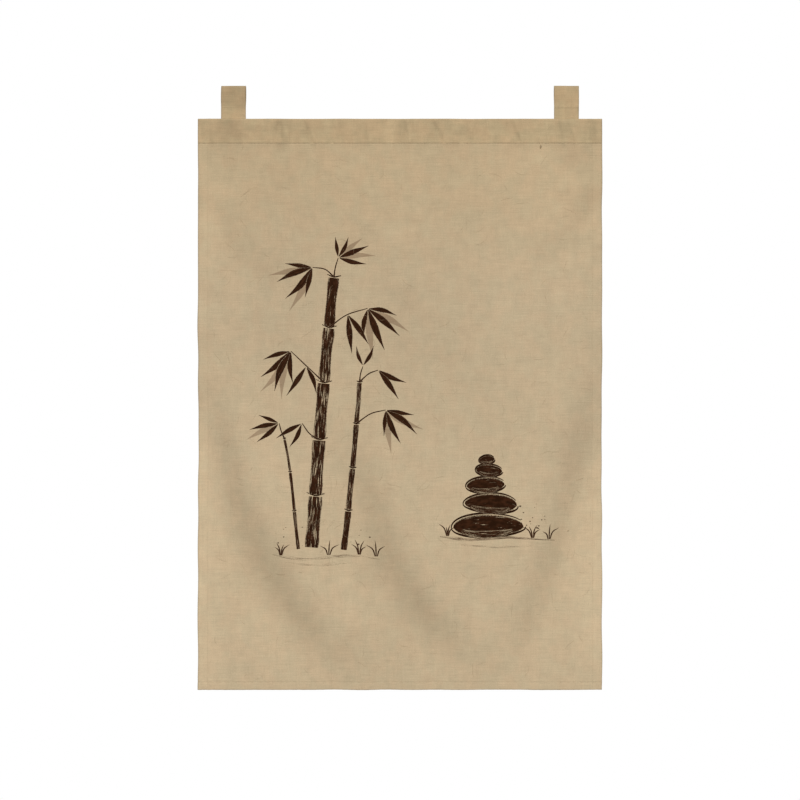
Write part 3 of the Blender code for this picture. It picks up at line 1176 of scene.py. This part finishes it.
# Painted shade and light on the heading go: how much darker, then from where and over what height
headingPaintedShading = {
    "plain": (-0.008, 0.030),  # all over, and all over but at the fold
    "areasFade": (0.5, 0.032, 0.020),  # by how much, from where, and over what height
    "atFold": (0.3, 0.7, 0.006),  # the share of it all at the fold, what is added, and the height
    # painted light on the lower part, and in a line above the seam
    "lowPart": (-0.070, 0.018, 0.024),
    "aboveSeam": (-0.02, 0.0045, 0.0030),  # a line this far above the seam, and its half width
    # painted shade along the fold at the top
    "foldEdge": (0.05, 0.003),
    "back": 0.25,  # the share of it all on the back wall
}


def headingShade(x, z, atBack):
    # painted shade and light on the heading, a quarter as strong on the back wall
    tones = headingPaintedShading
    fading, fadeStart, fadeHeight = tones["areasFade"]
    kept = 1 - fading * eased((-z - fadeStart) / fadeHeight)
    dark = creaseAt(x, z)[1] + tones["plain"][0]
    for areaX, reach, strength in headingLightAndShadePatches:
        dark = dark + strength * bellAt(x - areaX, reach) * kept
    least, added, height = tones["atFold"]
    dark = (dark + tones["plain"][1]) * (least + added * eased(-z / height)) + hemShade(x)
    strength, start, height = tones["lowPart"]
    dark = dark + strength * eased((-z - start) / height)
    strength, above, halfHeight = tones["aboveSeam"]
    dark = dark + strength * bellAt(z + cloth["headingHeight"] - above, halfHeight)
    strength, height = tones["foldEdge"]
    dark = dark + strength * eased(z / height + 1) + edgeShade(x, z)
    return np.where(atBack, tones["back"] * dark, dark)


# The tabs: a doubled strip each, sewn behind the heading and stitched across to leave a loop

tabSettings = {
    "middle": 0.3506,
    "width": 0.0522,
    "rise": 0.0707,
    "stitch": 0.0245,
    "legWall": 0.0014,
    "wall": 0.00125,
    "loopFront": 0.0030,  # how far the loop stands out at the front and at the back
    "loopBack": 0.0090,
    "loopFullness": 0.22,  # how much wider the loop is towards its top
    "opening": (1.0, 0.55),  # how gently it opens at the stitch line, and closes at the top
    "pressed": (0.00025, 8),  # how much thinner the stitching holds it, and how soon that ends
    "seat": 0.0003,  # between the leg and the heading's back
    "foldTop": -0.0031,  # above this the leg rises straight
    "columns": 17,
    "loopStations": 25,
    "legLevels": (
        -0.0535, -0.0525, -0.0500, -0.0470, -0.0430, -0.0380, -0.0320, -0.0250, -0.0180,
        -0.0120, -0.0070, -0.0030, 0.0020, 0.0080, 0.0140, 0.0190, 0.0220,
    ),
    # height and length of the unevenness in depth, upwards and sideways
    "waves": ((0.0004, 0.05), (0.0002, 0.06), (0.00015, 0.05)),
    "loose": (0.004, 0.02),  # where above the stitches it begins, and over what height
    "seeds": {"tab_left": 31, "tab_right": 37},
    # painted shade on the loop against the leg, and painted light on its lower half
    "darker": {"tab_left": 0.19, "tab_right": 0.075},  # the loop against the leg
    "paler": {"tab_left": 0.015, "tab_right": 0.115},  # its lower half
    # soft lines across both tabs: height, half width, how much darker; painted shade at the stitch
    # line, painted light just above it and at the heading's top edge
    "lines": (
        (0.0233, 0.0022, 0.11),
        (0.0320, 0.0042, -0.08),
        (0.0010, 0.0025, -0.06),
    ),
    # painted light lower on the loop, and painted shade growing upwards
    "paleHeight": (0.041, 0.007),
    "darkerUpwards": 0.10,
    "stitchStep": 0.004,  # the height in which the loop's own tone begins
    # painted shade along the top and side edges
    "topEdge": (0.08, 0.003),  # how much darker, and over what height
    "sideEdge": (0.05, 0.48),  # how much darker, and beyond what share of the width
}


def tabLegFront(z):
    # the leg rises against the heading's back, then straight
    x = np.full(np.shape(z), tabSettings["middle"])
    return headingBack(x, np.minimum(z, tabSettings["foldTop"])) + tabSettings["seat"]


def loopAt(z):
    # how full the loop is at each height above its stitch line, from 0 to 1
    low, high = tabSettings["stitch"], tabSettings["rise"]
    share = np.clip((z - low) / (high - low), 0.0, 1.0)
    gentle, blunt = tabSettings["opening"]
    full = np.maximum(np.sin(math.pi * share), 0.0) ** (gentle + (blunt - gentle) * eased(share))
    return full * (1 + tabSettings["loopFullness"] * (2 * share - 1))


def tabProfile():
    # up the back of the leg, round the loop from behind, and down the front
    legLevels = tabSettings["legLevels"]
    wall, (thinner, power) = tabSettings["legWall"], tabSettings["pressed"]
    angles = np.linspace(0.0, math.pi, tabSettings["loopStations"])
    low, high = tabSettings["stitch"], tabSettings["rise"]
    loopLevels = low + (high - low) * (1 - np.cos(angles)) / 2
    centre = float(tabLegFront(np.array(0.0))) + wall
    held = (wall - thinner) * np.cos(angles / 2) ** power
    frontAway = np.hypot(tabSettings["loopFront"] * loopAt(loopLevels), held)
    backAway = np.hypot(tabSettings["loopBack"] * loopAt(loopLevels), held)
    front = [(float(tabLegFront(z)), z) for z in legLevels]
    front += [(centre - a, z) for a, z in zip(frontAway, loopLevels)]
    back = [(float(tabLegFront(z)) + 2 * wall, z) for z in legLevels]
    back += [(centre + a, z) for a, z in zip(backAway, loopLevels)][:-1]
    return np.array(back + front[::-1]), centre


def tabShade(name, x, z):
    # painted shade and light on each tab
    low, high = tabSettings["stitch"], tabSettings["rise"]
    share = np.clip((z - low) / (high - low), 0.0, 1.0)
    loop = tabSettings["darker"][name] + tabSettings["darkerUpwards"] * (share - 0.5)
    dark = eased((z - low) / tabSettings["stitchStep"]) * loop
    for height, halfHeight, strength in tabSettings["lines"]:
        dark = dark + strength * bellAt(z - height, halfHeight)
    height, halfHeight = tabSettings["paleHeight"]
    dark = dark - tabSettings["paler"][name] * bellAt(z - height, halfHeight)
    strength, reach = tabSettings["topEdge"]
    dark = dark + strength * eased((z - high) / reach + 1)
    strength, beyond = tabSettings["sideEdge"]
    return dark + strength * (np.abs(x) > beyond * tabSettings["width"])


def makeTab(name, middle):
    profile, centre = tabProfile()
    run = runAlong(profile)
    across = np.linspace(-0.5, 0.5, tabSettings["columns"]) * tabSettings["width"]
    seed = tabSettings["seeds"][name]
    x = np.tile(across, len(profile))
    y, z = np.repeat(profile, len(across), axis=0).T
    down = np.repeat(run, len(across))
    start, growing = tabSettings["loose"]
    loose = eased((z - tabSettings["stitch"] - start) / growing)
    inDepth, upwards, sideways = tabSettings["waves"]
    y = y + inDepth[0] * loose * waves(x, down, inDepth[1], seed)
    z = z + upwards[0] * loose * waves(x, 0.0 * x, upwards[1], seed + 1)
    x = x + sideways[0] * waves(0.0 * x, down, sideways[1], seed + 2)
    tab = clothShell(
        name + "_cloth",
        np.column_stack((x + middle, y, z)),
        gridFaces(len(profile), len(across)),
        tabSettings["wall"],
        np.column_stack((x, down + 2.0 + seed)),
        tabShade(name, x, z),
    )
    print(name + ":", len(tab.data.polygons), "faces,", round(float(run[-1]), 4), "m round")
    return tab, centre


# Sewing and loose fibres

sewing = {
    "pitch": 0.0032,
    "length": 0.0025,
    "thread": 0.00019,  # radius
    "sides": 4,
    # how far a stitch's middle stands up, and its ends dip from there, in thread radii
    "arch": (0.55, 1.40),
    "panelSides": (-0.0590, -1.1965),  # where its side rows begin and end
    "panelReach": 0.4225,  # how far the row along the foot goes to either side
    "headingSides": (-0.0040, -0.0480),
    "headingReach": 0.4235,
    "tabMargin": 0.0015,
}


def surfaceFrame(surface, x, z, facing):
    # the points of a surface at (x, z), and the way it faces there
    step = 0.0006
    y = surface(x, z)
    slopeX = (surface(x + step, z) - surface(x - step, z)) / (2 * step)
    slopeZ = (surface(x, z + step) - surface(x, z - step)) / (2 * step)
    normal = facing * np.column_stack((-slopeX, np.ones(len(x)), -slopeZ))
    normal /= np.linalg.norm(normal, axis=1, keepdims=True)
    return np.column_stack((x, y, z)), normal


def sewRow(surface, start, end, facing):
    # stitch middles, directions and facings along a straight line of (x, z)
    start, end = np.array(start, float), np.array(end, float)
    length = np.linalg.norm(end - start)
    count = int(length / sewing["pitch"])
    share = (np.arange(count) + 0.5) / count
    x, z = (start + (end - start) * share[:, None]).T
    middle, normal = surfaceFrame(surface, x, z, facing)
    aim = (end - start) / length
    along = np.tile((aim[0], 0.0, aim[1]), (count, 1))
    along -= normal * np.sum(along * normal, axis=1, keepdims=True)
    return middle, along / np.linalg.norm(along, axis=1, keepdims=True), normal


def modelStitch():
    # one stitch along X, its ends dipping into the cloth
    half, thread = sewing["length"] / 2, sewing["thread"]
    bpy.ops.mesh.primitive_uv_sphere_add(
        segments=sewing["sides"],
        ring_count=4,
        scale=(thread, thread, half),
        rotation=(0.0, math.pi / 2, 0.0),
    )
    bpy.ops.object.transform_apply(location=False)
    stitch = bpy.context.object
    spots = np.array([vertex.co for vertex in stitch.data.vertices])
    order = np.lexsort(spots.round(7).T)  # the primitive's own order changes from run to run
    number = np.argsort(order).tolist()
    faces = sorted([number[v] for v in face.vertices] for face in stitch.data.polygons)
    spots = spots[order]
    bpy.data.objects.remove(stitch)
    rise, dip = sewing["arch"]
    spots[:, 2] += thread * (rise - dip * (spots[:, 0] / half) ** 2)
    return spots, faces


def sewStitches(name, rows):
    # a copy of the one stitch at each place along the rows
    middle, along, normal = (np.vstack(part) for part in zip(*rows))
    turned = np.stack((along, np.cross(normal, along), normal), axis=1)
    spots, stitchFaces = modelStitch()
    vertices = (middle[:, None, :] + spots @ turned).reshape(-1, 3)
    starts = range(0, len(vertices), len(spots))
    faces = [tuple(v + start for v in f) for start in starts for f in stitchFaces]
    print(name + ":", len(middle), "stitches")
    return addPiece(name, vertices, faces)


def clothRows(surfaces, sides, level, reach):
    # down both sides and across at one level, at the front and at the back
    rows = []
    for surface, facing in surfaces:
        for x in (-cloth["sideStitch"], cloth["sideStitch"]):
            rows.append(sewRow(surface, (x, sides[0]), (x, sides[1]), facing))
        rows.append(sewRow(surface, (-reach, level), (reach, level), facing))
    return rows


def tabRows(middle, centre):
    # across the stitch line, at the front and at the back
    rows, reach = [], tabSettings["width"] / 2 - sewing["tabMargin"]
    ends = [(x, tabSettings["stitch"]) for x in (middle - reach, middle + reach)]
    for facing in (-1, 1):
        depth = centre + facing * tabSettings["legWall"]
        rows.append(sewRow(lambda x, z: np.full(np.shape(x), depth), *ends, facing))
    return rows


fibreSettings = {
    "number": 340,
    "behind": 90,
    "seed": 51,
    "length": (0.008, 0.036),
    "radius": (0.00010, 0.00020),
    "curl": 30.0,  # radians a metre
    "twist": 2.2,  # how much more that changes along a fibre
    "stations": 13,
    # where they may begin, and where they stop
    "across": (-0.40, 0.40),
    "down": (-1.17, -0.06),
    "limitAcross": (-0.402, 0.402),
    "limitDown": (-1.178, -0.054),
    "taper": (0.15, 0.85),  # thickness at the ends, and what is added between them
    # knots and slubs that show: x, z, length, radius, direction
    "specks": (
        (0.2950, -0.0625, 0.0085, 0.00180, 1.50),
        (0.3525, -0.867, 0.0045, 0.00100, 0.15),
    ),
}


def layFibre(surface, facing, x, z, length, radius, angles, flatness=1.0):
    # the points of one three-sided hair, from its direction at each station
    stations = len(angles)
    step = length / (stations - 1)
    alongX = x + np.concatenate(([0.0], np.cumsum(step * np.cos(angles[:-1]))))
    alongZ = z + np.concatenate(([0.0], np.cumsum(step * np.sin(angles[:-1]))))
    alongX = np.clip(alongX, *fibreSettings["limitAcross"])
    alongZ = np.clip(alongZ, *fibreSettings["limitDown"])
    spots, normal = surfaceFrame(surface, alongX, alongZ, facing)
    side = np.column_stack((-np.sin(angles), np.zeros(stations), np.cos(angles)))
    share = np.linspace(0.0, 1.0, stations)
    thin, added = fibreSettings["taper"]
    thick = radius * (thin + added * np.sin(math.pi * share) ** 0.5)[:, None]
    rows = []
    for turn in (math.pi / 2, math.pi / 2 + math.tau / 3, math.pi / 2 + 2 * math.tau / 3):
        lift = flatness * (math.sin(turn) + 0.3)
        rows.append(spots + thick * (1.3 * math.cos(turn) * side + lift * normal))
    return np.vstack(rows)


def layFibres(name, surfaces):
    # curly flax fibres that lie in the face of the cloth
    chance = np.random.default_rng(fibreSettings["seed"])
    stations = fibreSettings["stations"]
    share = np.linspace(0.0, 1.0, stations)
    hairs = []
    for surface, facing, number in surfaces:
        for _ in range(number):
            x = chance.uniform(*fibreSettings["across"])
            z = chance.uniform(*fibreSettings["down"])
            length = chance.uniform(*fibreSettings["length"])
            radius = chance.uniform(*fibreSettings["radius"])
            turn = chance.uniform(0.0, math.tau)
            bend = chance.normal(0.0, fibreSettings["curl"])
            twist = chance.normal(0.0, fibreSettings["twist"] * fibreSettings["curl"])
            angles = turn + length * (bend * share + twist * share * (1 - share))
            hairs.append(layFibre(surface, facing, x, z, length, radius, angles))
    for x, z, length, radius, turn in fibreSettings["specks"]:
        angles = turn + 0.3 * (share - 0.5)
        hairs.append(layFibre(panelFront, -1, x, z, length, radius, angles, 0.3))
    faces = []
    for start in range(0, 3 * stations * len(hairs), 3 * stations):
        for k in range(3):
            a, b = start + k * stations, start + (k + 1) % 3 * stations
            faces += [(a + i, b + i, b + i + 1, a + i + 1) for i in range(stations - 1)]
        ends = [start + k * stations for k in range(3)]
        faces.append((ends[2], ends[1], ends[0]))
        faces.append(tuple(e + stations - 1 for e in ends))
    piece = addPiece(name, np.vstack(hairs), faces)
    bpy.context.view_layer.objects.active = piece
    piece.select_set(True)
    bpy.ops.object.mode_set(mode="EDIT")
    bpy.ops.mesh.select_all(action="SELECT")
    bpy.ops.mesh.normals_make_consistent(inside=False)
    bpy.ops.object.mode_set(mode="OBJECT")
    piece.select_set(False)
    print(name + ":", len(faces), "faces")
    return piece


panel = makePanel()
heading = makeHeading()
tabs, tabMiddles, tabCentres = {}, {}, {}
for tabName, side in (("tab_left", -1), ("tab_right", 1)):
    tabMiddles[tabName] = side * tabSettings["middle"]
    tabs[tabName], tabCentres[tabName] = makeTab(tabName, tabMiddles[tabName])

panelFaces = ((panelFront, -1), (panelBack, 1))
panelRows = clothRows(
    panelFaces, sewing["panelSides"], cloth["bottomStitch"], sewing["panelReach"]
)
panelStitches = sewStitches("panel_stitches", panelRows)
headingFaces = ((headingFront, -1), (headingBack, 1))
headingRows = clothRows(
    headingFaces, sewing["headingSides"], -cloth["headingHeight"], sewing["headingReach"]
)
headingStitches = sewStitches("heading_stitches", headingRows)
tabStitches = {
    tabName: sewStitches(tabName + "_stitches", tabRows(tabMiddles[tabName], tabCentres[tabName]))
    for tabName in tabs
}
fibres = layFibres(
    "panel_fibres",
    (
        (panelFront, -1, fibreSettings["number"]),
        (panelBack, 1, fibreSettings["behind"]),
    ),
)


# Materials

# Noise in the cloth: waves a metre across and down, detail, roughness, bend, start
weaveNoise = {
    "patches": (24.0, 21.0, 3.0, 0.55),
    "cloudy": (7.0, 5.0, 3.0, 0.5, 0.0, (3.1, 8.2)),
    "blotchy": (48.0, 38.0, 4.0, 0.62, 0.0, (8.6, 5.5)),
    "warp": (620.0, 26.0, 3.0, 0.6, 0.0, (5.3, 1.7)),
    "weft": (22.0, 560.0, 3.0, 0.6, 0.0, (1.9, 6.4)),
    "grain": (420.0, 420.0, 2.0, 0.7, 0.0, (2.2, 4.4)),
    "slubs": (9.0, 300.0, 2.0, 0.5, 0.3, (7.7, 2.3)),
    "slubsUp": (330.0, 8.0, 2.0, 0.5, 0.3, (4.2, 9.8)),
}
weaveLook = {
    "patches": (0.32, 0.68),  # where a patch begins and is full
    "slubs": (0.64, 0.78),
    "slubsUp": (0.66, 0.80),
    # how strongly each one lightens the cloth, and how strongly a slub darkens it
    "tones": {"warp": 0.13, "weft": 0.24, "grain": 0.27, "cloudy": 0.07},
    "slubTones": {"slubs": 0.048, "slubsUp": 0.034},
    "relief": {"warp": 0.42, "weft": 0.42, "grain": 0.16, "slubs": 0.25, "slubsUp": 0.2},
    "bump": {"Strength": 0.45, "Distance": 0.00035},
    # painted light: the body gets brighter and paler further down
    "paintedLightFrom": (0.35, 1.20),  # below the top, and where it is full
    "palerFrom": (0.05, 0.42),
    "roughness": (0.84, 0.10),
    "shader": {
        "IOR": 1.35,
        "Specular IOR Level": 0.05,
        "Sheen Weight": 0.015,
        "Sheen Roughness": 0.6,
    },
}
# How dry and washed-out brush ink lies on the cloth
inkLook = {
    "rough": (360.0, 360.0, 2.0, 0.6, 0.0, (9.1, 3.3)),
    "streaks": (26.0, 5.5, 3.0, 0.62),
    "pools": (60.0, 2.4, 2.0, 0.5, 0.0, (6.0, 2.0)),
    "pooled": (0.35, 0.75),
    "bare": (0.78, 0.13),  # how much of a stroke a dry brush leaves bare, and a wet one fills
    "uneven": 0.18,
    "streakEdge": 8.0,  # how sharp streaks are, and the sides of a stroke
    "strokeEdge": 5.0,
    "ragged": (1.15, 1.7),
    "washed": (0.8, 0.22),  # by the stroke's own warmth, and where ink pools
    "smoother": 0.10,
}
linenLook = {
    "linen_body": {
        "warm": (0.521, 0.3955, 0.2495, 1.0),
        "cool": (0.499, 0.3970, 0.2530, 1.0),
        # painted light: brighter and paler further down
        "paintedLight": 0.10,
        "pale": (0.560, 0.505, 0.405, 1.0),
        "paler": 0.15,
        "blotchy": 0.20,
    },
    "linen_heading": {
        "warm": (0.456, 0.339, 0.205, 1.0),
        "cool": (0.434, 0.341, 0.208, 1.0),
        "blotchy": 0.32,
    },
    "linen_tab": {
        "warm": (0.470, 0.345, 0.205, 1.0),
        "cool": (0.446, 0.346, 0.208, 1.0),
        "blotchy": 0.32,
    },
}


def addShader(start, inputs):
    shader = start.make("ShaderNodeBsdfPrincipled", {}, inputs)
    start.make("ShaderNodeOutputMaterial", {}, {"Surface": shader})


def printedInk(start, weave):
    # the ink's colour, and how much of it covers the cloth
    stroke = start.make("ShaderNodeAttribute", {"attribute_name": "inkStroke"}, {}, 1)
    inkTone = start.make("ShaderNodeAttribute", {"attribute_name": "inkTone"}, {}, 1)
    across, density = stroke.split(1), stroke.split(2)
    dryness, warmth = inkTone.split(0), inkTone.split(1)
    streaks = stroke.noise(*inkLook["streaks"])
    rough = weave.noise(*inkLook["rough"])
    bare = dryness * inkLook["bare"][0] - inkLook["bare"][1]
    covered = (streaks + inkLook["uneven"] * (rough - 0.5) - bare) * inkLook["streakEdge"]
    full, ragged = inkLook["ragged"]
    edge = (1.0 - across.size()) * inkLook["strokeEdge"] + full - ragged * rough
    pooled = stroke.noise(*inkLook["pools"]).spread(*inkLook["pooled"])
    byWarmth, byPool = inkLook["washed"]
    washed = (warmth * byWarmth + byPool * pooled).clipped()
    colour = start.blended(printLook["ink"], printLook["wash"], washed)
    return colour, covered.clipped() * edge.clipped() * density


def linenMaterial(name, look, printed=False):
    material, start = emptyMaterial(name)
    weave = start.make("ShaderNodeUVMap", {"uv_map": "weave"})
    layers = {kind: weave.noise(*settings) for kind, settings in weaveNoise.items()}
    for kind in ("patches", "slubs", "slubsUp"):
        layers[kind] = layers[kind].spread(*weaveLook[kind])
    tone = 1.0
    for kind, strength in (*weaveLook["tones"].items(), ("blotchy", look["blotchy"])):
        tone = tone + strength * (layers[kind] - 0.5)
    for kind, strength in weaveLook["slubTones"].items():
        tone = tone - strength * layers[kind]
    # painted shade and light from each piece's shade attribute
    tone = tone * (1.0 - start.make("ShaderNodeAttribute", {"attribute_name": "shade"}, {}, 2))
    colour = start.blended(look["cool"], look["warm"], layers["patches"])
    if "pale" in look:
        # painted light: brighter and paler towards the foot
        below = 0.0 - weave.split(1)
        tone = tone * (1.0 + look["paintedLight"] * below.spread(*weaveLook["paintedLightFrom"]))
        paler = look["paler"] * below.spread(*weaveLook["palerFrom"])
        colour = start.blended(colour, look["pale"], paler)
    colour = start.dimmed(colour, tone)
    plain, uneven = weaveLook["roughness"]
    roughness = plain + uneven * (layers["grain"] - 0.5)
    if printed:
        inkColour, ink = printedInk(start, weave)
        colour = start.blended(colour, inkColour, ink)
        roughness = roughness - inkLook["smoother"] * ink
    relief = sum(share * layers[kind] for kind, share in weaveLook["relief"].items())
    bump = start.make("ShaderNodeBump", {}, {**weaveLook["bump"], "Height": relief})
    surface = {"Base Color": colour, "Roughness": roughness, "Normal": bump}
    addShader(start, {**surface, **weaveLook["shader"]})
    return material


# colour, how much the twist varies it
threadLook = {
    "sewing thread": ((0.40, 0.31, 0.185), 0.3),
    "flax fibre": ((0.32, 0.228, 0.124), 0.5),
    "twist": {"Scale": 900.0, "Detail": 2.0},
    "bump": {"Strength": 0.3, "Distance": 0.0001},
    "shader": {"Roughness": 0.78, "Sheen Weight": 0.08},
}


def threadMaterial(name):
    colour, contrast = threadLook[name]
    material, start = emptyMaterial(name)
    place = start.make("ShaderNodeTexCoord", {}, {}, 3)
    twist = start.make("ShaderNodeTexNoise", {}, {"Vector": place, **threadLook["twist"]})
    shaded = start.dimmed(colour, 1.0 + contrast * (twist - 0.5))
    bump = start.make("ShaderNodeBump", {}, {**threadLook["bump"], "Height": twist})
    addShader(start, {"Base Color": shaded, "Normal": bump, **threadLook["shader"]})
    return material


bodyLinen = linenMaterial("printed linen", linenLook["linen_body"], True)
headingLinen = linenMaterial("heading linen", linenLook["linen_heading"])
tabLinen = linenMaterial("tab linen", linenLook["linen_tab"])
thread = threadMaterial("sewing thread")
fibreFinish = threadMaterial("flax fibre")

fixtures = [
    (panel, bodyLinen, "linen_body"),
    (panelStitches, thread, "linen_body"),
    (fibres, fibreFinish, "linen_body"),
    (heading, headingLinen, "linen_heading"),
    (headingStitches, thread, "linen_heading"),
]
for tabName, tab in tabs.items():
    fixtures += [(tab, tabLinen, "linen_tab"), (tabStitches[tabName], thread, "linen_tab")]
for piece, material, slotName in fixtures:
    piece.data.materials.append(material)
    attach(piece, "root")
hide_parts("panel")
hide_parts("heading")
for tabName, tab in tabs.items():
    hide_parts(tabName)

print("pieces placed:", len(fixtures))

boxes = {"cad": cadBox, "visual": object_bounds()}
{name: [list(corner) for corner in box] for name, box in boxes.items()}
